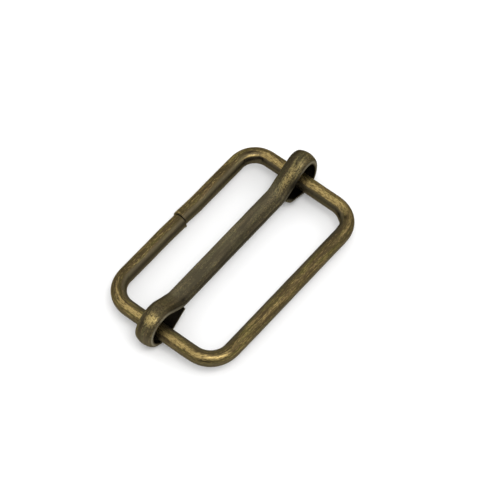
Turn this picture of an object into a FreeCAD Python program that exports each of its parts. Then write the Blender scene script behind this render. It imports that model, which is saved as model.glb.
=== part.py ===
"""Wire strap slider for 40 mm webbing, in millimetres.

Two pieces: a rectangular frame bent from one round wire, and a cross bar stamped from one
strip of sheet, whose ends are rolled loosely round the frame's short sides so that it slides.

The row frame has +X along the long sides, +Y along the short sides, in the direction that
the bar's positive travel takes, and +Z up. The origin is under the frame's centre, on the
surface that the rolled loops rest on.
"""
import FreeCAD
import Part
import Sketcher
import math
import os

SHEET = "sizes"

SIZES = [
    # the frame
    ("webbing_width", 40.0),        # inside length of the frame
    ("inside_depth", 23.0),         # inside width of the frame, across both slots
    ("wire_diameter", 3.2),
    ("bend_radius", 5.0),           # of the wire's centre line, at the four corners
    ("butt_gap", 0.1),              # between the wire's two cut ends
    # the sliding bar
    ("strip_thickness", 1.0),
    ("strip_width", 4.0),
    ("bar_rise", 1.5),              # bar's middle surface above the wire's centre line
    ("level_half_length", 14.85),   # level part of the bar, from its middle to the first bend
    ("ramp_bend_radius", 2.0),      # upper surface of the bend where each ramp starts
    ("loop_radius", 4.65),          # outer surface of each rolled end
    ("loop_play", 0.95),            # between the wire's underside and the loop's floor
    ("loop_set_in", 0.05),          # loop's centre inwards of the wire's centre line
    ("leg_angle", 26.5),            # of the return leg under the bar, from level
    ("leg_length", 5.2),
    ("edge_rounding", 0.2),         # along the strip's sheared edges
    ("bar_offset", 1.65),           # bar's rest place, from the frame's centre along +Y
]


def make_sheet(doc):
    """The driving dimensions, one row each: a name, a number and its alias."""
    sheet = doc.addObject("Spreadsheet::Sheet", SHEET)
    for row, (name, value) in enumerate(SIZES, start=1):
        sheet.set(f"A{row}", name)
        sheet.set(f"B{row}", str(value))
        sheet.setAlias(f"B{row}", name)
    doc.recompute()
    return sheet


def cell(name):
    """An alias as an expression sees it."""
    return f"{SHEET}.{name}"


# Expressions for sizes that follow from the driving ones.
WIRE_RADIUS = f"{cell('wire_diameter')} / 2"
HALF_LENGTH = f"({cell('webbing_width')} + {cell('wire_diameter')}) / 2"
HALF_DEPTH = f"({cell('inside_depth')} + {cell('wire_diameter')}) / 2"
LOOP_INSIDE = f"({cell('loop_radius')} - {cell('strip_thickness')})"
LOOP_RISE = f"({LOOP_INSIDE} - {WIRE_RADIUS} - {cell('loop_play')})"
LOOP_CENTRE_HEIGHT = cell("loop_radius")
WIRE_HEIGHT = f"({cell('loop_radius')} - {LOOP_RISE})"
BAR_UNDERSIDE = f"({WIRE_HEIGHT} + {cell('bar_rise')} - {cell('strip_thickness')} / 2)"


def sizes_in_python(sheet):
    """The same sizes as numbers, for the sketches' starting geometry and the checks."""
    size = {name: float(sheet.get(name)) for name, _ in SIZES}
    wire_radius = size["wire_diameter"] / 2
    size["half_length"] = (size["webbing_width"] + size["wire_diameter"]) / 2
    size["half_depth"] = (size["inside_depth"] + size["wire_diameter"]) / 2
    size["loop_inside"] = size["loop_radius"] - size["strip_thickness"]
    size["loop_rise"] = size["loop_inside"] - wire_radius - size["loop_play"]
    size["wire_height"] = size["loop_radius"] - size["loop_rise"]
    size["bar_underside"] = size["wire_height"] + size["bar_rise"] - size["strip_thickness"] / 2
    return size


def origin_plane(body, role):
    """One of a body's own origin planes, found by its role."""
    for feature in body.Origin.OriginFeatures:
        if feature.Role == role:
            return feature
    raise ValueError(f"{body.Name} has no plane {role}")


def new_sketch(body, name, role):
    """An empty sketch on one of the body's origin planes."""
    sketch = body.newObject("Sketcher::SketchObject", name)
    sketch.AttachmentSupport = [(origin_plane(body, role), "")]
    sketch.MapMode = "FlatFace"
    return sketch


def bind(sketch, constraint, name, expression):
    """Add a named dimension to a sketch and bind it to the sheet."""
    index = sketch.addConstraint(constraint)
    sketch.renameConstraint(index, name)
    sketch.setExpression(f"Constraints.{name}", expression)


def line(sketch, start, end):
    """A sketch line between two (x, y) points."""
    return sketch.addGeometry(Part.LineSegment(FreeCAD.Vector(*start, 0), FreeCAD.Vector(*end, 0)))


def arc(sketch, centre, radius, first_degrees, last_degrees):
    """A sketch arc, counter-clockwise from the first angle to the last."""
    circle = Part.Circle(FreeCAD.Vector(*centre, 0), FreeCAD.Vector(0, 0, 1), radius)
    first = math.radians(first_degrees)
    last = math.radians(last_degrees)
    return sketch.addGeometry(Part.ArcOfCircle(circle, first, last))


START = 1
END = 2
CENTRE = 3
ROOT = -1       # Sketcher's own number for the sketch's origin, as geometry


def make_wire_path(body, size):
    """The wire's centre line: an open rounded rectangle that starts and ends at the butt."""
    sketch = new_sketch(body, "wire_path", "XY_Plane")
    half_length = size["half_length"]
    half_depth = size["half_depth"]
    radius = size["bend_radius"]
    half_gap = size["butt_gap"] / 2
    corner_x = half_length - radius
    corner_y = half_depth - radius

    butt_right = line(sketch, (half_gap, half_depth), (corner_x, half_depth))
    bend_1 = arc(sketch, (corner_x, corner_y), radius, 0, 90)
    right = line(sketch, (half_length, corner_y), (half_length, -corner_y))
    bend_2 = arc(sketch, (corner_x, -corner_y), radius, 270, 360)
    near = line(sketch, (corner_x, -half_depth), (-corner_x, -half_depth))
    bend_3 = arc(sketch, (-corner_x, -corner_y), radius, 180, 270)
    left = line(sketch, (-half_length, -corner_y), (-half_length, corner_y))
    bend_4 = arc(sketch, (-corner_x, corner_y), radius, 90, 180)
    butt_left = line(sketch, (-corner_x, half_depth), (-half_gap, half_depth))

    joints = [
        (butt_right, END, bend_1, END),
        (bend_1, START, right, START),
        (right, END, bend_2, END),
        (bend_2, START, near, START),
        (near, END, bend_3, END),
        (bend_3, START, left, START),
        (left, END, bend_4, END),
        (bend_4, START, butt_left, START),
    ]
    for first, first_point, second, second_point in joints:
        sketch.addConstraint(
            Sketcher.Constraint("Tangent", first, first_point, second, second_point))
    for level in (butt_right, near, butt_left):
        sketch.addConstraint(Sketcher.Constraint("Horizontal", level))
    for upright in (right, left):
        sketch.addConstraint(Sketcher.Constraint("Vertical", upright))
    for bend in (bend_2, bend_3, bend_4):
        sketch.addConstraint(Sketcher.Constraint("Equal", bend_1, bend))

    bind(sketch, Sketcher.Constraint("Radius", bend_1, radius), "bend", cell("bend_radius"))
    bind(sketch, Sketcher.Constraint("DistanceX", ROOT, START, butt_right, START, half_gap),
         "gap_right", f"{cell('butt_gap')} / 2")
    bind(sketch, Sketcher.Constraint("DistanceX", butt_left, END, ROOT, START, half_gap),
         "gap_left", f"{cell('butt_gap')} / 2")
    bind(sketch, Sketcher.Constraint("DistanceY", ROOT, START, butt_right, START, half_depth),
         "far_right", HALF_DEPTH)
    bind(sketch, Sketcher.Constraint("DistanceY", ROOT, START, butt_left, END, half_depth),
         "far_left", HALF_DEPTH)
    bind(sketch, Sketcher.Constraint("DistanceY", near, START, ROOT, START, half_depth),
         "near_side", HALF_DEPTH)
    bind(sketch, Sketcher.Constraint("DistanceX", ROOT, START, right, START, half_length),
         "right_side", HALF_LENGTH)
    bind(sketch, Sketcher.Constraint("DistanceX", left, START, ROOT, START, half_length),
         "left_side", HALF_LENGTH)
    return sketch


def make_wire_section(body, size):
    """The round section, on the plane of the wire's first cut end."""
    sketch = new_sketch(body, "wire_section", "YZ_Plane")
    sketch.setExpression(".AttachmentOffset.Base.z", f"{cell('butt_gap')} / 2")
    centre = FreeCAD.Vector(size["half_depth"], 0, 0)
    wire_radius = size["wire_diameter"] / 2
    circle = sketch.addGeometry(Part.Circle(centre, FreeCAD.Vector(0, 0, 1), wire_radius))
    bind(sketch, Sketcher.Constraint("Diameter", circle, 2 * wire_radius),
         "diameter", cell("wire_diameter"))
    bind(sketch, Sketcher.Constraint("DistanceX", ROOT, START, circle, CENTRE, centre.x),
         "out", HALF_DEPTH)
    sketch.addConstraint(Sketcher.Constraint("PointOnObject", circle, CENTRE, ROOT))
    return sketch


def make_wire_frame(doc, size):
    """One round wire, bent into a rounded rectangle, with its ends butted on the far side."""
    body = doc.addObject("PartDesign::Body", "wire_frame")
    body.Label = "wire_frame"
    path = make_wire_path(body, size)
    section = make_wire_section(body, size)
    doc.recompute()
    wire = body.newObject("PartDesign::AdditivePipe", "bent_wire")
    wire.Profile = (section, [""])
    wire.Spine = (path, [f"Edge{number + 1}" for number in range(path.GeometryCount)])
    wire.Mode = "Standard"
    body.Tip = wire
    body.setExpression(".Placement.Base.z", WIRE_HEIGHT)
    return body


def make_strip_outline(body, size):
    """The strip seen from the side, from its middle to the tip of one rolled end.

    It runs along the underside, round the inside of the loop to the tip, and back round
    the outside. The loop's two arcs share a centre, and so do those of the ramp's bend.
    """
    sketch = new_sketch(body, "strip_outline", "XZ_Plane")
    thickness = size["strip_thickness"]
    underside = size["bar_underside"]
    top = underside + thickness
    loop_x = size["half_length"] - size["loop_set_in"]
    loop_z = size["loop_radius"]
    bend_x = size["level_half_length"]
    bend_inside = size["ramp_bend_radius"]
    bend_z = top + bend_inside
    # The ramp touches the bend's arc from below and the loop's arc from above.
    reach = math.hypot(loop_x - bend_x, bend_z - loop_z)
    between_centres = math.degrees(math.atan2(bend_z - loop_z, loop_x - bend_x))
    ramp = math.degrees(math.asin((bend_inside + size["loop_radius"]) / reach)) - between_centres
    leg = size["leg_angle"]

    def on_arc(centre, radius, degrees):
        angle = math.radians(degrees)
        return (centre[0] + radius * math.cos(angle), centre[1] + radius * math.sin(angle))

    loop = (loop_x, loop_z)
    bend = (bend_x, bend_z)
    inside = size["loop_inside"]
    outside = size["loop_radius"]
    along_leg = (-math.cos(math.radians(leg)), math.sin(math.radians(leg)))

    def leg_end(point):
        return (point[0] + along_leg[0] * size["leg_length"],
                point[1] + along_leg[1] * size["leg_length"])

    leg_inner_root = on_arc(loop, inside, -90 - leg)
    leg_outer_root = on_arc(loop, outside, -90 - leg)
    middle = line(sketch, (0, top), (0, underside))
    bottom = line(sketch, (0, underside), (bend_x, underside))
    bend_outer = arc(sketch, bend, bend_inside + thickness, -90, -90 + ramp)
    ramp_under = line(sketch, on_arc(bend, bend_inside + thickness, -90 + ramp),
                      on_arc(loop, inside, 90 + ramp))
    loop_inner = arc(sketch, loop, inside, -90 - leg, 90 + ramp)
    leg_upper = line(sketch, leg_inner_root, leg_end(leg_inner_root))
    tip = line(sketch, leg_end(leg_inner_root), leg_end(leg_outer_root))
    leg_lower = line(sketch, leg_end(leg_outer_root), leg_outer_root)
    loop_outer = arc(sketch, loop, outside, -90 - leg, 90 + ramp)
    ramp_over = line(sketch, on_arc(loop, outside, 90 + ramp),
                     on_arc(bend, bend_inside, -90 + ramp))
    bend_inner = arc(sketch, bend, bend_inside, -90, -90 + ramp)
    upper = line(sketch, (bend_x, top), (0, top))

    smooth = [
        (bottom, END, bend_outer, START),
        (bend_outer, END, ramp_under, START),
        (ramp_under, END, loop_inner, END),
        (loop_inner, START, leg_upper, START),
        (leg_lower, END, loop_outer, START),
        (loop_outer, END, ramp_over, START),
        (ramp_over, END, bend_inner, END),
        (bend_inner, START, upper, START),
    ]
    for first, first_point, second, second_point in smooth:
        sketch.addConstraint(
            Sketcher.Constraint("Tangent", first, first_point, second, second_point))
    corners = [
        (middle, END, bottom, START),
        (leg_upper, END, tip, START),
        (tip, END, leg_lower, START),
        (upper, END, middle, START),
        (loop_inner, CENTRE, loop_outer, CENTRE),
        (bend_inner, CENTRE, bend_outer, CENTRE),
    ]
    for first, first_point, second, second_point in corners:
        sketch.addConstraint(
            Sketcher.Constraint("Coincident", first, first_point, second, second_point))
    sketch.addConstraint(Sketcher.Constraint("Horizontal", bottom))
    sketch.addConstraint(Sketcher.Constraint("Horizontal", upper))
    sketch.addConstraint(Sketcher.Constraint("Vertical", middle))
    sketch.addConstraint(Sketcher.Constraint("Parallel", leg_upper, leg_lower))
    sketch.addConstraint(Sketcher.Constraint("Perpendicular", tip, leg_lower))
    sketch.addConstraint(Sketcher.Constraint("PointOnObject", middle, START, -2))

    bind(sketch, Sketcher.Constraint("DistanceY", ROOT, START, middle, END, underside),
         "underside", BAR_UNDERSIDE)
    bind(sketch, Sketcher.Constraint("DistanceY", middle, END, middle, START, thickness),
         "thickness", cell("strip_thickness"))
    bind(sketch, Sketcher.Constraint("DistanceX", ROOT, START, loop_outer, CENTRE, loop_x),
         "loop_out", f"{HALF_LENGTH} - {cell('loop_set_in')}")
    bind(sketch, Sketcher.Constraint("DistanceY", ROOT, START, loop_outer, CENTRE, loop_z),
         "loop_up", LOOP_CENTRE_HEIGHT)
    bind(sketch, Sketcher.Constraint("Radius", loop_outer, outside),
         "loop_outside", cell("loop_radius"))
    bind(sketch, Sketcher.Constraint("Radius", loop_inner, inside),
         "loop_inside", LOOP_INSIDE)
    bind(sketch, Sketcher.Constraint("DistanceX", ROOT, START, bend_inner, CENTRE, bend_x),
         "level", cell("level_half_length"))
    bind(sketch, Sketcher.Constraint("Radius", bend_inner, bend_inside),
         "ramp_bend", cell("ramp_bend_radius"))
    bind(sketch, Sketcher.Constraint("Distance", leg_upper, size["leg_length"]),
         "leg", cell("leg_length"))
    bind(sketch, Sketcher.Constraint("Angle", leg_upper, START, -1, END, math.radians(leg)),
         "leg_tilt", f"{cell('leg_angle')} * 1 deg")
    return sketch


def side_edges(shape, width):
    """Names of the edges that bound the strip's two sheared sides."""
    names = []
    for number, edge in enumerate(shape.Edges, start=1):
        box = edge.BoundBox
        on_side = abs(abs(box.Center.y) - width / 2) < 1e-4
        if on_side and box.YLength < 1e-4:
            names.append(f"Edge{number}")
    return names


def make_slide_bar(doc, size):
    """One strip: a level bar over the wire's plane, and an open loop rolled at each end."""
    body = doc.addObject("PartDesign::Body", "slide_bar")
    body.Label = "slide_bar"
    outline = make_strip_outline(body, size)
    doc.recompute()
    half = body.newObject("PartDesign::Pad", "half_strip")
    half.Profile = (outline, [""])
    half.SideType = "Symmetric"
    half.setExpression("Length", cell("strip_width"))
    doc.recompute()
    whole = body.newObject("PartDesign::Mirrored", "whole_strip")
    whole.Originals = [half]
    whole.MirrorPlane = (origin_plane(body, "YZ_Plane"), [""])
    whole.Refine = True
    body.Tip = whole
    doc.recompute()
    rounded = body.newObject("PartDesign::Fillet", "rounded_edges")
    rounded.Base = (whole, side_edges(whole.Shape, size["strip_width"]))
    rounded.setExpression("Radius", cell("edge_rounding"))
    body.Tip = rounded
    body.setExpression(".Placement.Base.y", cell("bar_offset"))
    return body


def check(doc, bodies):
    """Stop at the first failed object, wrong solid or pair of pieces that meet."""
    for item in doc.Objects:
        if "Invalid" in item.State or "Error" in item.State:
            raise RuntimeError(f"{item.Name} failed: {item.State}")
    for body in bodies:
        shape = body.Shape
        if shape.isNull() or not shape.isValid() or len(shape.Solids) != 1:
            raise RuntimeError(f"{body.Label} is not one valid solid")
        box = shape.optimalBoundingBox(False, False)
        print(f"{body.Label}: {shape.Volume:.2f} mm3,",
              f"x {box.XMin:.3f} to {box.XMax:.3f},",
              f"y {box.YMin:.3f} to {box.YMax:.3f},",
              f"z {box.ZMin:.3f} to {box.ZMax:.3f}")
    shared = bodies[0].Shape.common(bodies[1].Shape).Volume
    if shared > 1e-6:
        raise RuntimeError(f"the frame and the bar overlap by {shared:.4f} mm3")


def main():
    doc = FreeCAD.newDocument("strap_slider")
    sheet = make_sheet(doc)
    size = sizes_in_python(sheet)
    bodies = [make_wire_frame(doc, size), make_slide_bar(doc, size)]
    doc.recompute()
    check(doc, bodies)
    os.makedirs("parts", exist_ok=True)
    for body in bodies:
        body.Shape.exportStep(f"parts/{body.Label}.step")


main()
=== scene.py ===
"""Looks of the antique-brass strap slider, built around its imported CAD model.

Shapes are worked out in millimetres, in the CAD model's own axes, and become metres when
a mesh is made. The bar's middle line is given from the height of the wire's centre line.
"""

import math

import bpy
import numpy as np
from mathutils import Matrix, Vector


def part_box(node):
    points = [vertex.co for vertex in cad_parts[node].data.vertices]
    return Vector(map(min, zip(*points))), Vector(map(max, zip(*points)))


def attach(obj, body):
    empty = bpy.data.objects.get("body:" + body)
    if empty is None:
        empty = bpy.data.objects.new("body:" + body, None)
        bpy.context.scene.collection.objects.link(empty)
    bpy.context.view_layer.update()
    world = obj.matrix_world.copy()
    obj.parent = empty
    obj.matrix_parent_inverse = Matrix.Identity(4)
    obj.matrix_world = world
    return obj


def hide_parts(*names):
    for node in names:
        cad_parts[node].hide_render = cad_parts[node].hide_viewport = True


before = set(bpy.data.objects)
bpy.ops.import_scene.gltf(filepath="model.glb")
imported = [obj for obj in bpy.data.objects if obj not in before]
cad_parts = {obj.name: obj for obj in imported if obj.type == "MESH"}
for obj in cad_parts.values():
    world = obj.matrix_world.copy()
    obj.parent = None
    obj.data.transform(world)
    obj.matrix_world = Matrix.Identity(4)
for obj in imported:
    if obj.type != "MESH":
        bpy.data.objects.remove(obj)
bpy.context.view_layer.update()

MM = 0.001


# ---------------------------------------------------------------- sizes from the CAD frame

def box_mm(node):
    """A CAD node's lowest and highest corners, in millimetres."""
    low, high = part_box(node)
    return low / MM, high / MM


WIRE_LOW, WIRE_HIGH = box_mm("wire_frame")
BAR_LOW, BAR_HIGH = box_mm("slide_bar")
WIRE_RADIUS = (WIRE_HIGH.z - WIRE_LOW.z) / 2
WIRE_HEIGHT = (WIRE_HIGH.z + WIRE_LOW.z) / 2
HALF_LENGTH = (WIRE_HIGH.x - WIRE_LOW.x) / 2 - WIRE_RADIUS
HALF_DEPTH = (WIRE_HIGH.y - WIRE_LOW.y) / 2 - WIRE_RADIUS
STRIP_WIDTH = BAR_HIGH.y - BAR_LOW.y
BAR_OFFSET = (BAR_HIGH.y + BAR_LOW.y) / 2


# ---------------------------------------------------------------- curves and shapes in numbers

def smooth_step(value, low, high):
    """0 below low, 1 above high, and a smooth change between them."""
    share = np.clip((value - low) / (high - low), 0, 1)
    return share * share * (3 - 2 * share)


def bell(value, centre, width):
    """A smooth hump of height 1."""
    return np.exp(-((value - centre) / width) ** 2)


def ripple(seed, *coordinates, waves=9, finest=2.0):
    """Gentle irregularity between about -1 and 1 that never repeats, from summed waves."""
    draw = np.random.default_rng(seed)
    total = 0
    for _ in range(waves):
        phase = draw.uniform(0, 2 * math.pi)
        for coordinate in coordinates:
            phase = phase + coordinate * draw.uniform(-1, 1) * 2 * math.pi / finest
        total = total + np.sin(phase)
    return total / math.sqrt(waves) / 1.5


def follow(pieces, distances, start=(0.0, 0.0), heading=0.0):
    """Points and headings along a flat path of straights and bends.

    Each piece is (length, turn): a straight has no turn, and a positive turn bends to the
    left. Headings are in radians, counter-clockwise from the first axis.
    """
    points = np.zeros((len(distances), 2))
    headings = np.zeros(len(distances))
    position = np.array(start, float)
    travelled = 0.0
    for length, turn in pieces:
        here = distances >= travelled - 1e-9
        step = distances[here] - travelled
        points[here], headings[here] = along_piece(position, heading, length, turn, step)
        end, end_heading = along_piece(position, heading, length, turn, np.array([length]))
        position, heading = end[0], end_heading[0]
        travelled += length
    return points, headings


def along_piece(position, heading, length, turn, step):
    """Points and headings some steps along one straight or bend."""
    if abs(turn) < 1e-9:
        ahead = np.array([math.cos(heading), math.sin(heading)])
        return position + step[:, None] * ahead, np.full(len(step), heading)
    radius = length / turn
    centre = position + radius * np.array([-math.sin(heading), math.cos(heading)])
    headings = heading + step / radius
    offset = radius * np.stack([np.sin(headings), -np.cos(headings)], axis=1)
    return centre + offset, headings


def bend(radius, degrees):
    """A piece of path that bends, with its turn in degrees: positive is left."""
    turn = math.radians(degrees)
    return (radius * abs(turn), turn)


def straight(length):
    """A piece of path without a turn."""
    return (length, 0.0)


def path_length(pieces):
    """Length of a whole path of straights and bends."""
    return sum(length for length, _ in pieces)


def stations(length, step, end_step, end_zone):
    """Distances from 0 to length, closer together within end_zone of both ends."""
    close = np.arange(0, end_zone, end_step)
    middle = np.linspace(end_zone, length - end_zone, int((length - 2 * end_zone) / step) + 1)
    return np.concatenate([close, middle, length - close[::-1]])


# ---------------------------------------------------------------- meshes

CAP_SHARES = (0.7, 0.4, 0.12, 0.01)     # sizes of the rings that close an end


def capped(rings):
    """Rings with each end closed by flat, smaller rings."""
    first = np.array([shrunk(rings[0], share) for share in CAP_SHARES])
    last = np.array([shrunk(rings[-1], share) for share in CAP_SHARES])
    return np.concatenate([first[::-1], rings, last])


def shrunk(ring, share):
    """A ring drawn towards its own middle."""
    middle = ring.mean(axis=0)
    return middle + (ring - middle) * share


def padded(values, fill_value):
    """Values with one fixed value for the rings that capped adds at each end."""
    added = len(CAP_SHARES)
    return np.pad(values, ((added, added), (0, 0)), constant_values=fill_value)


def swept_mesh(name, rings, values):
    """A closed mesh through rings of points, facing outwards, with named values at each point.

    rings is (rings, points, 3) in millimetres. values maps a name to an array of floats or
    of vectors with the same two first dimensions.
    """
    count, around = rings.shape[:2]
    index = np.arange(count * around).reshape(count, around)
    after = np.roll(index, -1, axis=1)
    sides = np.stack([index[1:], index[:-1], after[:-1], after[1:]], axis=-1).reshape(-1, 4)
    caps = [index[0][::-1], index[-1]]
    if not right_handed(rings):
        sides = sides[:, ::-1]
        caps = [cap[::-1] for cap in caps]
    faces = [tuple(map(int, side)) for side in sides]
    faces += [tuple(map(int, cap)) for cap in caps]
    mesh = bpy.data.meshes.new(name)
    mesh.from_pydata((rings.reshape(-1, 3) * MM).tolist(), [], faces)
    for key, array in values.items():
        kind, field = ("FLOAT_VECTOR", "vector") if array.ndim == 3 else ("FLOAT", "value")
        attribute = mesh.attributes.new(key, kind, "POINT")
        attribute.data.foreach_set(field, array.astype(np.float32).ravel())
    mesh.shade_smooth()
    mesh.update()
    piece = bpy.data.objects.new(name, mesh)
    bpy.context.scene.collection.objects.link(piece)
    return piece


def right_handed(rings):
    """Whether the points of a ring run right-handed about the way that the sweep goes."""
    first, second = rings[len(rings) // 2], rings[len(rings) // 2 + 1]
    ahead = (second - first).mean(axis=0)
    spokes = first - first.mean(axis=0)
    area = np.cross(spokes, np.roll(spokes, -1, axis=0)).sum(axis=0)
    return area @ ahead > 0


# ---------------------------------------------------------------- the bent wire

WIRE_GAP = 0.16                 # between the two cut ends, in the middle of the far side
RIGHT_SIDE_OUT = 0.16           # the right-hand side was bent a little further out
FAR_RIGHT_RADIUS = 4.4          # of the wire's centre line at each corner
NEAR_RIGHT_RADIUS = 5.1
NEAR_LEFT_RADIUS = 5.05
FAR_LEFT_RADIUS = 5.05
WIRE_STEP = 0.14
WIRE_AROUND = 72
END_RIM = 0.18                  # rounding of the cut ends' rims
RIGHT_END_OUT = 0.19            # the cut ends don't quite line up
LEFT_END_IN = 0.13
END_SPRING = 5.0                # how far back from the butt that shows
END_SOOT = 0.8                  # the cut faces are dark
WIRE_WAVER = 0.03               # how far its line wanders, sideways and in height
BEND_FLATTENED = 0.045          # shares of its radius: a bend is thinner outside,
BEND_SPREAD = 0.025             # and a little taller
SKIN_WAVES = 0.012              # unevenness of its skin, coarse
SKIN_PITS = 0.006               # and fine


def wire_pieces():
    """The wire from its right-hand cut end, clockwise, to the left-hand one."""
    corner = -90
    long_side = 2 * HALF_LENGTH + RIGHT_SIDE_OUT
    short_side = 2 * HALF_DEPTH
    return [
        straight(HALF_LENGTH + RIGHT_SIDE_OUT - FAR_RIGHT_RADIUS - WIRE_GAP / 2),
        bend(FAR_RIGHT_RADIUS, corner),
        straight(short_side - FAR_RIGHT_RADIUS - NEAR_RIGHT_RADIUS),
        bend(NEAR_RIGHT_RADIUS, corner),
        straight(long_side - NEAR_RIGHT_RADIUS - NEAR_LEFT_RADIUS),
        bend(NEAR_LEFT_RADIUS, corner),
        straight(short_side - NEAR_LEFT_RADIUS - FAR_LEFT_RADIUS),
        bend(FAR_LEFT_RADIUS, corner),
        straight(HALF_LENGTH - FAR_LEFT_RADIUS - WIRE_GAP / 2),
    ]


def bend_middles(pieces):
    """Distance along the wire of the middle of each bend, and half the bend's length."""
    found = []
    travelled = 0.0
    for length, turn in pieces:
        if turn:
            found.append((travelled + length / 2, length / 2))
        travelled += length
    return found


def wire_radii(along, angle, pieces):
    """Distance of the wire's skin from its centre line. Angle 0 is outward, 90 degrees up."""
    outward = np.cos(angle)
    upward = np.sin(angle)
    radius = np.full_like(angle, WIRE_RADIUS)
    middles = bend_middles(pieces)
    for middle, half in middles:
        in_bend = 1 - smooth_step(abs(along - middle), half * 0.7, half * 1.25)
        radius = radius * (1 - BEND_FLATTENED * in_bend * np.clip(outward, 0, 1) ** 2)
        radius = radius * (1 + BEND_SPREAD * in_bend * upward ** 2)
    far_right, near_right = middles[0], middles[1]
    radius = pressed_flat(radius, along, angle, *far_right)
    radius = inner_kink(radius, along, angle, *near_right)
    radius = radius + SKIN_WAVES * ripple(3, along, 3 * outward, 3 * upward, finest=5.0)
    radius = radius + SKIN_PITS * ripple(4, along, 2 * outward, 2 * upward, finest=1.3)
    return radius


def pressed_flat(radius, along, angle, middle, half):
    """The mark of the bending tool: a flat on the inner upper side of the tightest corner."""
    facing = math.radians(166)
    depth = 0.85 * WIRE_RADIUS
    reach = half * 0.72
    edge_on = 0.3
    inside = 1 - smooth_step(abs(along - middle), reach, reach + 0.35)
    toward = np.cos(angle - facing)
    flat = np.where(toward > edge_on, depth / np.clip(toward, edge_on, 1), np.inf)
    return radius - inside * np.clip(radius - flat, 0, None)


def inner_kink(radius, along, angle, middle, half):
    """A crease across the inside of the corner that was bent over a sharp edge."""
    past_middle = 1.2
    half_width = half * 0.45
    deepest = 0.15
    peak = np.clip(1 - abs(along - middle - past_middle) / half_width, 0, 1)
    inner = np.clip(-np.cos(angle), 0, 1) ** 0.8
    return radius * (1 - deepest * peak * inner)


def end_rounding(radius, from_end):
    """The skin turns in over the last END_RIM before a cut end."""
    share = np.clip(1 - from_end / END_RIM, 0, 1)
    return radius - END_RIM * (1 - np.sqrt(1 - share ** 2))


def end_burr(along, angle, length):
    """The cutter's burr on the inner side of the left-hand end."""
    height = 0.15
    place = bell(angle, math.radians(196), math.radians(20))
    return height * place * smooth_step(along, length - 0.45, length - 0.12)


def make_wire():
    """One round wire, bent into a rounded rectangle whose ends butt on the far side."""
    pieces = wire_pieces()
    length = path_length(pieces)
    along = stations(length, WIRE_STEP, end_step=0.03, end_zone=0.3)
    points, headings = follow(pieces, along, start=(WIRE_GAP / 2, HALF_DEPTH))
    outward = np.stack([-np.sin(headings), np.cos(headings)], axis=1)
    shift = RIGHT_END_OUT * (1 - smooth_step(along, 0, END_SPRING))
    shift = shift - LEFT_END_IN * smooth_step(along, length - END_SPRING, length)
    shift = shift + WIRE_WAVER * ripple(7, along, finest=14.0)
    rise = WIRE_WAVER * ripple(8, along, finest=16.0)
    points = points + outward * shift[:, None]

    angle = np.linspace(0, 2 * math.pi, WIRE_AROUND, endpoint=False)
    along_grid, angle_grid = np.meshgrid(along, angle, indexing="ij")
    radius = wire_radii(along_grid, angle_grid, pieces)
    radius = radius + end_burr(along_grid, angle_grid, length)
    radius = end_rounding(radius, np.minimum(along_grid, length - along_grid))
    out = radius * np.cos(angle_grid)
    up = radius * np.sin(angle_grid)
    rings = np.empty(angle_grid.shape + (3,))
    rings[..., 0] = points[:, None, 0] + outward[:, None, 0] * out
    rings[..., 1] = points[:, None, 1] + outward[:, None, 1] * out
    rings[..., 2] = WIRE_HEIGHT + rise[:, None] + up
    straight_place = np.stack([along_grid, out, up], axis=-1)
    rub_and_highlight = wire_rub_and_highlights(along_grid, angle_grid, headings, pieces, length)
    values = {
        "straight": capped(straight_place),
        "rub_and_highlight": padded(rub_and_highlight, 0.0),
        "soot_and_shade": padded(wire_darkening_and_shade(along_grid, angle_grid, pieces), END_SOOT),
        "grey_and_sheen": padded(wire_painted_reflection(along_grid, angle_grid, headings, pieces), 0.0),
    }
    return swept_mesh("wire", capped(rings), values)


# Marks on the wire: (bend, mm past its middle, half its length, angle, half its width, amount)
# These rows are painted highlights on the bends' ridges and crowns, drawn as bright rubbed
# brass.
PAINTED_HIGHLIGHT_MARKS = [
    (0, -0.6, 2.1, 127, 6, 0.95),
    (2, -1.5, 1.4, 57, 9, 0.65),
    (2, 0.9, 1.5, 62, 12, 0.22),
    (3, 0.2, 2.6, 77, 5, 0.40),
]
# Painted shade in the bends' creases and on the tool's flat, which faces in and down, plus a
# dark spot on the tightest corner. The row 10.3 mm past the near-left bend is a painted shadow
# where the near loop shades the left side.
SHADE_AND_SPOT_MARKS = [
    (0, -0.5, 1.0, 101, 9, 0.70),
    (0, -1.0, 1.9, 162, 14, 0.85),
    (0, 2.0, 1.2, 142, 11, 0.75),
    (1, 0.5, 0.5, 100, 20, 0.75),
    (1, -0.9, 0.9, 148, 12, 0.70),
    (2, 1.2, 1.6, 38, 6, 0.85),
    (2, 10.3, 1.1, 70, 50, 0.50),
    (3, -0.6, 3.0, 100, 9, 0.45),
]


def marks(table, along, angle, pieces):
    """Soft marks at places on or after the wire's bends."""
    middles = [middle for middle, _ in bend_middles(pieces)]
    total = 0
    for corner, past, half_length, degrees, half_width, amount in table:
        lengthwise = bell(along, middles[corner] + past, half_length)
        total = total + amount * lengthwise * bell(np.degrees(angle), degrees, half_width)
    return total


def slide_wear_and_highlight(angle, headings):
    """1 on top of the two short sides, where the bar's loops slide. Wear lays the brass bare
    there, and the band is also a painted highlight where the lamp catches those crowns.
    """
    crosswise = np.sin(headings)[:, None]
    off_centre = np.abs(np.degrees(angle) - 86 + 20 * crosswise)
    band = 1 - smooth_step(off_centre, 14 - 3 * crosswise, 27 - 2 * crosswise)
    return crosswise ** 6 * band


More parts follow.
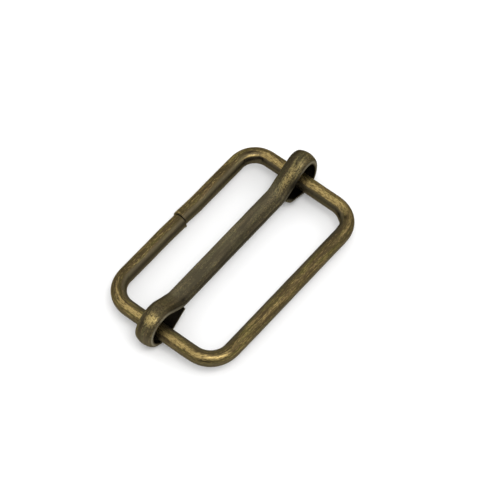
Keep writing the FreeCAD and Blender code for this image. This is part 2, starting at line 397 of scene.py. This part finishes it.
def wire_rub_and_highlights(along, angle, headings, pieces, length):
    """How far the patina is rubbed back: most where the loops slide, least inside. It also
    holds painted highlights: along the slide band, on the right-hand cut end's rim and at the
    marks on the bends.
    """
    handled = 0.13 + 0.12 * np.cos(angle - math.radians(50))
    slid_over_and_highlight = 0.41 * slide_wear_and_highlight(angle, headings)
    # Painted highlight on the right-hand cut end's rim.
    end_rim_highlight = 0.30 * bell(along, 0.35, 0.12)
    rub_and_highlight = handled + slid_over_and_highlight + end_rim_highlight + marks(PAINTED_HIGHLIGHT_MARKS, along, angle, pieces)
    ends = np.minimum(along, length - along)
    return rub_and_highlight * (0.35 + 0.65 * smooth_step(ends, 0.02, 0.35))


def wire_darkening_and_shade(along, angle, pieces):
    """Darker on the inner lower faces. The marks on the bends are painted shade in creases and
    on the tool's flat, and one of them is a painted shadow where the near loop shades the left
    side.
    """
    inner_face = 0.45 * bell(np.degrees(angle), 148, 16)
    return np.clip(inner_face + marks(SHADE_AND_SPOT_MARKS, along, angle, pieces), 0, 0.9)


def wire_painted_reflection(along, angle, headings, pieces):
    """Painted reflection: the wire's sides are greyer than its top, as if they mirrored the
    pale surroundings, except where they are rubbed or carry painted highlights.
    """
    degrees = np.degrees(angle)
    sides = smooth_step(degrees, 98, 128) + 1 - smooth_step(degrees, 5, 35)
    rubbed = slide_wear_and_highlight(angle, headings) + marks(PAINTED_HIGHLIGHT_MARKS, along, angle, pieces)
    return 0.65 * sides * (1 - np.clip(rubbed, 0, 1))


# ---------------------------------------------------------------- the rolled strip

STRIP_THICKNESS = 1.0
STRIP_STEP = 0.13
BAR_SKEW = 0.012                # radians about Z: the bar lies a little askew
BAR_PITCH = 1.05                # degrees: its near end lies a little higher
BAR_MIDDLE_RISE = 1.48          # middle surface above the wire's centre line, at x = 0
ARCH = 0.16                     # how far the strip's edges curl down, along the bar
NEAR_ARCH = 0.32                # and how much more round each loop
FAR_ARCH = 0.42
NEAR_EDGE_ROUND = 0.55          # upper edge towards -Y, drawn down by the shears
FAR_EDGE_ROUND = 0.25           # upper edge towards +Y
LOWER_ROUND = 0.10
ARCH_BALANCE = 0.33             # keeps the arched section's mean height where it is
TIP_RUB = 0.1                   # on the two cut tips
TIP_SOOT = 0.3
TIP_GREY = 0.1


def near_end_pieces():
    """Middle surface of the strip from its middle to the tip at its left-hand end."""
    ramp = 29.5
    leg = 35.0
    return [
        straight(14.45),
        bend(2.5, ramp - BAR_PITCH),
        straight(4.25),
        bend(4.0, -(ramp + 50)),
        bend(3.8, -80),
        bend(3.85, -(50 + leg)),
        straight(5.0),
    ]


def far_end_pieces():
    """The same to the right-hand tip: a taller, squarer loop with a flatter leg."""
    ramp = 30.7
    leg = 25.0
    crown = 57.0
    return [
        straight(14.9),
        bend(2.3, ramp + BAR_PITCH),
        straight(6.3),
        bend(2.5, -(ramp + crown)),
        bend(5.3, -2 * (90 - crown)),
        bend(2.6, -(crown + leg)),
        straight(5.55),
    ]


def strip_half_width(along):
    """Half the strip's width, a little less from the near ramp to its tip."""
    narrowed = 0.075 * smooth_step(-along, 15, 20)
    return STRIP_WIDTH / 2 - narrowed + 0.012 * ripple(21, along, finest=3.0)


def strip_arch(along):
    """How far the strip's long edges curl towards its under side."""
    near = NEAR_ARCH * (smooth_step(-along, 20, 26) - smooth_step(-along, 31, 35))
    far = FAR_ARCH * (smooth_step(along, 20, 25) - smooth_step(along, 32, 36))
    return ARCH + near + far


def strip_drift(along):
    """Sideways wander: each loop was rolled a little askew, its leg towards -Y."""
    near = -0.08 * smooth_step(-along, 14, 19) - 0.20 * smooth_step(-along, 26, 36)
    far = -0.22 * smooth_step(along, 26, 35) - 0.40 * np.clip((along - 35) / 5.8, 0, 1.2)
    return near + far


def strip_section():
    """The strip's section as shares: across -1 to 1, through -1 to 1, corner offsets.

    Each point is (across, through, across offset, through offset, is upper). The first two
    are the corner or edge it belongs to, and the offsets are in corner radii.
    """
    points = []
    upper_steps = 18
    lower_steps = 14
    corner_steps = 5
    for step in range(upper_steps + 1):
        points.append((-1 + 2 * step / upper_steps, 1, 0, 1, 1))
    points += corner_points(1, 1, 90, corner_steps)
    points += corner_points(1, -1, 0, corner_steps)
    for step in range(lower_steps + 1):
        points.append((1 - 2 * step / lower_steps, -1, 0, -1, 0))
    points += corner_points(-1, -1, 270, corner_steps)
    points += corner_points(-1, 1, 180, corner_steps)
    return np.array(points, float)


def corner_points(across, through, first_degrees, steps):
    """Points round one corner, clockwise, without the points that the flats already have."""
    points = []
    skip_first = across * through > 0
    for step in range(steps + 1):
        on_flat = step == 0 if skip_first else step == steps
        if on_flat:
            continue
        angle = math.radians(first_degrees - 90 * step / steps)
        upper = 1 if through > 0 else 0
        points.append((across, through, math.cos(angle), math.sin(angle), upper))
    return points


def strip_paths(along):
    """Middle surface (x, z) and outward normals of the whole strip.

    along runs from the left-hand tip, negative, through 0 in the middle.
    """
    middle = np.zeros(along.shape + (2,))
    normal = np.zeros(along.shape + (2,))
    ends = [(-1, near_end_pieces(), BAR_PITCH), (1, far_end_pieces(), -BAR_PITCH)]
    for side, pieces, pitch in ends:
        here = along * side >= 0
        distance = np.abs(along[here])
        points, headings = follow(
            pieces, distance, start=(0, BAR_MIDDLE_RISE), heading=math.radians(pitch))
        middle[here] = np.stack([side * points[:, 0], points[:, 1]], axis=1)
        normal[here] = np.stack([-side * np.sin(headings), np.cos(headings)], axis=1)
    return middle, normal


def make_bar():
    """One strip: a level bar with an open loop rolled at each end."""
    near_length = path_length(near_end_pieces())
    far_length = path_length(far_end_pieces())
    whole = stations(near_length + far_length, STRIP_STEP, end_step=0.02, end_zone=0.2)
    along = whole - near_length
    section = strip_section()
    across_share, through_share, across_turn, through_turn, upper = section.T
    across_grid = np.broadcast_to(across_share, (len(along), len(section)))
    along_grid = np.broadcast_to(along[:, None], across_grid.shape)

    half_width = strip_half_width(along)[:, None]
    half_thick = STRIP_THICKNESS / 2
    upper_round = np.where(across_share > 0, FAR_EDGE_ROUND, NEAR_EDGE_ROUND)
    rounding = np.where(upper > 0, upper_round, LOWER_ROUND)
    ends = np.minimum(along + near_length, far_length - along)
    inset = end_rounding(np.zeros_like(ends), ends)[:, None]
    across = across_share * (half_width - rounding) + across_turn * rounding
    through = through_share * (half_thick - rounding) + through_turn * rounding
    across = across + np.sign(across) * inset
    through = through * (1 + inset / half_thick)
    through = through - strip_arch(along)[:, None] * ((across / half_width) ** 2 - ARCH_BALANCE)
    through = through + 0.008 * ripple(22, along_grid, 2 * across, finest=2.5)

    pulled = tip_shape(along_grid, across / half_width, far_length)
    middle, normal = strip_paths(pulled.ravel())
    x = middle[:, 0] + normal[:, 0] * through.ravel()
    z = middle[:, 1] + normal[:, 1] * through.ravel()
    y = (across + strip_drift(pulled)).ravel()
    rings = np.stack([
        x - BAR_SKEW * y,
        y + BAR_SKEW * x + BAR_OFFSET,
        z + WIRE_HEIGHT,
    ], axis=-1).reshape(across.shape + (3,))
    rub_and_highlight = strip_rub_and_highlights(along_grid, across, upper)
    soot_and_shade = strip_painted_shade(along_grid, across, upper)
    grey_and_sheen = strip_bare_grey_and_sheen(along_grid, section)
    values = {
        "straight": capped(np.stack([pulled, across, through], axis=-1)),
        "rub_and_highlight": padded(rub_and_highlight, TIP_RUB),
        "soot_and_shade": padded(soot_and_shade, TIP_SOOT),
        "grey_and_sheen": padded(grey_and_sheen, TIP_GREY),
    }
    return swept_mesh("bar", capped(rings), values)


def strip_bare_grey_and_sheen(along, section):
    """Bare greyish metal on the sheared side faces, and a hint of it on the level bar. Along
    the strip's upper edges it is also a painted edge highlight.

    The near loop's lower part has a hint of it too.
    """
    _, _, across_turn, _, upper = section.T
    faces_out = np.abs(across_turn)
    side_face_and_edge_sheen = np.where(upper > 0, smooth_step(faces_out, 0.75, 0.97), 0.5 * faces_out)
    distance = np.abs(along)
    bare = 0.30 + 0.40 * smooth_step(distance, 13, 18) - 0.50 * smooth_step(distance, 29, 33)
    level_bar = 1 - smooth_step(distance, 15.0, 19.0)
    near_bottom = smooth_step(-along, 26.0, 29.0)
    hint = 0.065 * level_bar + 0.12 * near_bottom
    return np.maximum(side_face_and_edge_sheen * bare, hint * upper)


def tip_shape(along, across_share, far_length):
    """Draws the far tip's two corners back, because it was clipped round."""
    drawn_back = 1.0
    near_tip = smooth_step(along, far_length - 2.2, far_length)
    corner = np.clip(np.abs(across_share) - 0.25, 0, 1) ** 1.6
    return along - drawn_back * near_tip * corner


def strip_rub_and_highlights(along, across, upper):
    """Where the strip's patina is rubbed back to brass, with painted highlights on the loops'
    crowns: the near one partly wear, the far one a streak along its arched crown.
    """
    rub_and_highlight = 0.12 + 0.08 * bell(across, -1.3, 0.8)
    near_crown_wear_and_highlight = bell(along, -23.7, 1.1) * bell(across, -0.1, 1.1)
    far_crown_highlight = bell(along, 19.2, 3.4) * bell(across, -0.35, 0.65)
    rub_and_highlight = rub_and_highlight + 0.75 * near_crown_wear_and_highlight + 0.52 * far_crown_highlight
    return rub_and_highlight * (0.25 + 0.75 * upper)


def strip_painted_shade(along, across, upper):
    """Painted shade: the strip's under side is darker, and the loops' insides are nearly black.

    More painted shade lies along the bar's edge towards -Y, at a spot where the near ramp
    starts, and on both edges of the far loop, where the arched strip turns away from the light.
    The near loop's shoulder is darker too.
    """
    inside = smooth_step(np.abs(along), 16.0, 20.0)
    far_half = smooth_step(along, -4.0, 8.0)
    margin_shade = smooth_step((-across - 0.8 + 0.9 * far_half) / (0.5 + 0.7 * far_half), 0, 1)
    margin_shade = margin_shade * (1 - smooth_step(np.abs(along), 18.0, 22.0))
    margin_shade = margin_shade + 0.6 * bell(along, -14.8, 0.9) * bell(across, -1.0, 0.8)
    far_margin_shade = smooth_step(np.abs(across + 0.4), 0.7, 1.5) * smooth_step(along, 16.0, 20.0)
    near_shoulder = bell(along, -25.3, 0.7) * bell(across, 0.7, 0.9)
    upper_shade = 0.58 * margin_shade + 0.45 * far_margin_shade + 0.35 * near_shoulder
    return (1 - upper) * (0.35 + 0.55 * inside) + upper_shade * upper


# ---------------------------------------------------------------- materials

def add_node(tree, kind, **inputs):
    """A shader node whose inputs are numbers, colours or other nodes' outputs."""
    node = tree.nodes.new(kind)
    for name, value in inputs.items():
        fill(tree, node.inputs[name.replace("_", " ")], value)
    return node


def fill(tree, socket, value):
    """Links another node's output to a socket, or sets the socket to a plain value."""
    if isinstance(value, bpy.types.NodeSocket):
        tree.links.new(value, socket)
    else:
        socket.default_value = value


def calculate(tree, operation, first, second):
    """The output of one Math node."""
    node = tree.nodes.new("ShaderNodeMath")
    node.operation = operation
    fill(tree, node.inputs[0], first)
    fill(tree, node.inputs[1], second)
    return node.outputs[0]


def blend_colours(tree, share, first, second):
    """The first colour where share is 0, and the second where it is 1."""
    node = tree.nodes.new("ShaderNodeMix")
    node.data_type = "RGBA"
    fill(tree, node.inputs["Factor"], share)
    fill(tree, node.inputs["A"], first)
    fill(tree, node.inputs["B"], second)
    return node.outputs["Result"]


def rescale(tree, value, low, high, new_low=0.0, new_high=1.0):
    """new_low at low, new_high at high, and a smooth change between them."""
    node = add_node(tree, "ShaderNodeMapRange", Value=value)
    node.interpolation_type = "SMOOTHSTEP"
    node.inputs["From Min"].default_value = low
    node.inputs["From Max"].default_value = high
    node.inputs["To Min"].default_value = new_low
    node.inputs["To Max"].default_value = new_high
    return node.outputs["Result"]


def read_value(tree, name, output):
    """A value that the mesh carries at each point."""
    node = tree.nodes.new("ShaderNodeAttribute")
    node.attribute_name = name
    return node.outputs[output]


def noise(tree, place, stretch, detail, roughness, distortion=0.0):
    """Noise over place, in millimetres, with its grain stretched by three divisors."""
    mapping = add_node(tree, "ShaderNodeMapping", Vector=place)
    mapping.inputs["Scale"].default_value = [1 / size for size in stretch]
    texture = add_node(tree, "ShaderNodeTexNoise", Vector=mapping.outputs[0], Scale=1.0,
                       Detail=detail, Roughness=roughness, Distortion=distortion)
    return texture.outputs["Fac"]


# Sizes of the patterns in millimetres: along the wire or strip, and in the two other ways.
CLOUD_SIZE = (9.0, 1.2, 1.2)
DRAWN_SIZE = (3.2, 0.22, 0.22)
TINT_SIZE = (5.0, 0.5, 0.5)
CLOUD_WEIGHT = 0.5
DRAWN_RELIEF = 0.5              # height of the drawn lines beside the grain's
NOISE_MEAN = 0.5


def antique_brass(name, look):
    """Plated brass under a brown patina that is rubbed back on what stands proud. The mesh's
    values also carry painted highlights, which come out as bare or bright brass, painted shade,
    which comes out nearly black, and painted reflection and edge sheen, which come out greyish.
    """
    material = bpy.data.materials.new(name)
    material.use_nodes = True
    tree = material.node_tree
    shader = tree.nodes["Principled BSDF"]
    place = read_value(tree, "straight", "Vector")
    rub_and_highlight = read_value(tree, "rub_and_highlight", "Fac")

    clouds = noise(tree, place, CLOUD_SIZE, 4.0, 0.6, 0.4)
    drawn = noise(tree, place, DRAWN_SIZE, 3.0, 0.6)
    grain = noise(tree, place, look["grain"], 2.0, 0.6)
    tints = noise(tree, place, TINT_SIZE, 2.0, 0.5, 0.3)

    # Wear and painted highlights together set where the brass shows.
    wear_and_highlight = calculate(tree, "ADD", rub_and_highlight, calculate(tree, "MULTIPLY", clouds, CLOUD_WEIGHT))
    wear_and_highlight = calculate(tree, "ADD", wear_and_highlight, calculate(tree, "MULTIPLY", drawn, look["drawn"]))
    wear_and_highlight = calculate(tree, "ADD", wear_and_highlight, grain)
    unrubbed = NOISE_MEAN * (CLOUD_WEIGHT + look["drawn"] + 1)
    bare = rescale(tree, wear_and_highlight, unrubbed + 0.18, unrubbed + 0.82)

    olive_share = rescale(tree, tints, 0.38, 0.62)
    lighter = blend_colours(tree, olive_share, look["patina"], look["olive_patina"])
    lighter_share = rescale(tree, clouds, 0.32, 0.68)
    patina = blend_colours(tree, lighter_share, look["dark_patina"], lighter)
    colour = blend_colours(tree, bare, patina, look["brass"])
    # Painted highlights and the most rubbed places turn bright brass.
    polish_and_highlight = rescale(tree, rub_and_highlight, 0.7, 1.4)
    colour = blend_colours(tree, polish_and_highlight, colour, look["polished_and_highlight"])
    speck = rescale(tree, grain, 0.32, 0.50, look["specks"], 0.0)
    colour = blend_colours(tree, speck, colour, look["dark_patina"])
    colour = blend_colours(tree, read_value(tree, "grey_and_sheen", "Fac"), colour, look["grey_and_sheen"])
    colour = blend_colours(tree, read_value(tree, "soot_and_shade", "Fac"), colour, look["soot_and_shade"])
    fill(tree, shader.inputs["Base Color"], colour)
    shader.inputs["Metallic"].default_value = 1.0
    shader.inputs["Specular Tint"].default_value = look["edge_tint"]

    smoother_when_bare = rescale(tree, bare, 0.0, 1.0, 0.38, 0.27)
    uneven = rescale(tree, grain, 0.3, 0.7, -0.05, 0.07)
    fill(tree, shader.inputs["Roughness"], calculate(tree, "ADD", smoother_when_bare, uneven))

    drawn_height = calculate(tree, "MULTIPLY", drawn, DRAWN_RELIEF)
    height = calculate(tree, "ADD", drawn_height, grain)
    bump = add_node(tree, "ShaderNodeBump", Height=height)
    bump.inputs["Strength"].default_value = 0.8
    bump.inputs["Distance"].default_value = look["relief"] * MM
    fill(tree, shader.inputs["Normal"], bump.outputs["Normal"])
    return material


# Each look has linear colours, and then: specks, how strong the dark specks are; drawn, how
# much the drawn lines count in the wear; grain, the grain's size; relief, the bump's depth.
# The last two are in millimetres.
# The near-black colour also paints shade, the greyish one painted reflection and edge sheen,
# and the brightest brass painted highlights.
FRAME_LOOK = {
    "dark_patina": (0.052, 0.038, 0.018, 1),
    "patina": (0.106, 0.073, 0.033, 1),
    "olive_patina": (0.094, 0.080, 0.025, 1),
    "brass": (0.355, 0.260, 0.100, 1),
    "polished_and_highlight": (0.540, 0.430, 0.205, 1),
    "soot_and_shade": (0.008, 0.006, 0.004, 1),
    "edge_tint": (0.60, 0.56, 0.48, 1),
    "grey_and_sheen": (0.082, 0.070, 0.045, 1),
    "specks": 0.6,
    "drawn": 1.0,
    "grain": (0.60, 0.17, 0.17),
    "relief": 0.05,
}
BAR_LOOK = {
    "dark_patina": (0.038, 0.030, 0.016, 1),
    "patina": (0.094, 0.072, 0.038, 1),
    "olive_patina": (0.084, 0.074, 0.036, 1),
    "brass": (0.300, 0.228, 0.090, 1),
    "polished_and_highlight": (0.540, 0.420, 0.180, 1),
    "soot_and_shade": (0.006, 0.005, 0.004, 1),
    "edge_tint": (0.55, 0.52, 0.46, 1),
    "grey_and_sheen": (0.36, 0.33, 0.24, 1),
    "specks": 0.9,
    "drawn": 0.8,
    "grain": (0.34, 0.24, 0.24),
    "relief": 0.05,
}


PAPER_WHITE = (0.80, 0.80, 0.80, 1)


def plain_white():
    """Matt white for the floor."""
    material = bpy.data.materials.new("white_paper")
    material.use_nodes = True
    shader = material.node_tree.nodes["Principled BSDF"]
    shader.inputs["Base Color"].default_value = PAPER_WHITE
    shader.inputs["Roughness"].default_value = 0.9
    shader.inputs["Specular IOR Level"].default_value = 0.1
    return material


# ---------------------------------------------------------------- studio

CAMERA_PLACE = (-334.63, -275.23, WIRE_HEIGHT + 672.52)
CAMERA_AZIMUTH = -50.89
CAMERA_ELEVATION = 57.07
CAMERA_LENS = 306.3
SENSOR = 36.0
FLOOR_HALF = 6.0                # metres
WHITE = (1.0, 1.0, 1.0, 1)
WORLD_STRENGTH = 1.22


def direction(azimuth, elevation):
    """Unit vector from the object: azimuth 0 is towards -Y and 90 towards +X."""
    turn = math.radians(azimuth)
    lift = math.radians(elevation)
    return Vector((math.sin(turn) * math.cos(lift), -math.cos(turn) * math.cos(lift),
                   math.sin(lift)))


def make_camera():
    """A long lens, looking down on the slider from its near left."""
    data = bpy.data.cameras.new("camera")
    data.lens = CAMERA_LENS
    data.sensor_width = SENSOR
    data.clip_start = 0.01
    data.clip_end = 50
    camera = bpy.data.objects.new("camera", data)
    camera.location = Vector(CAMERA_PLACE) * MM
    back = direction(CAMERA_AZIMUTH, CAMERA_ELEVATION)
    camera.rotation_mode = "QUATERNION"
    camera.rotation_quaternion = (-back).to_track_quat("-Z", "Y")
    bpy.context.scene.collection.objects.link(camera)
    bpy.context.scene.camera = camera


def make_floor():
    """The white surface that the slider lies on."""
    corners = [(-1, -1), (1, -1), (1, 1), (-1, 1)]
    mesh = bpy.data.meshes.new("floor")
    places = [(x * FLOOR_HALF, y * FLOOR_HALF, 0) for x, y in corners]
    mesh.from_pydata(places, [], [(0, 1, 2, 3)])
    mesh.materials.append(plain_white())
    floor = bpy.data.objects.new("floor", mesh)
    bpy.context.scene.collection.objects.link(floor)


def make_softbox(name, azimuth, elevation, distance, width, height, watts):
    """A rectangular lamp that faces the object: its sizes are in metres."""
    data = bpy.data.lights.new(name, "AREA")
    data.shape = "RECTANGLE"
    data.size = width
    data.size_y = height
    data.energy = watts
    light = bpy.data.objects.new(name, data)
    toward = direction(azimuth, elevation)
    light.location = toward * distance
    light.rotation_mode = "QUATERNION"
    light.rotation_quaternion = (-toward).to_track_quat("-Z", "Y")
    bpy.context.scene.collection.objects.link(light)


def light_the_room():
    """An even white surround, one large lamp overhead and a small one in front."""
    world = bpy.data.worlds.new("studio")
    world.use_nodes = True
    background = world.node_tree.nodes["Background"]
    background.inputs["Color"].default_value = WHITE
    background.inputs["Strength"].default_value = WORLD_STRENGTH
    bpy.context.scene.world = world
    make_softbox("overhead", azimuth=-28, elevation=71, distance=0.9,
                 width=0.5, height=0.35, watts=3.2)
    make_softbox("front", azimuth=38, elevation=47, distance=0.8,
                 width=0.15, height=0.15, watts=0.4)
    bpy.context.scene.view_settings.view_transform = "Standard"


# ---------------------------------------------------------------- putting it together

def main():
    """The studio, and then each piece with its finish and the CAD node it stands for."""
    make_camera()
    make_floor()
    light_the_room()
    wire = make_wire()
    wire.data.materials.append(antique_brass("frame_brass", FRAME_LOOK))
    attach(wire, "frame")
    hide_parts("wire_frame")
    bar = make_bar()
    bar.data.materials.append(antique_brass("bar_brass", BAR_LOOK))
    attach(bar, "bar")
    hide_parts("slide_bar")


main()
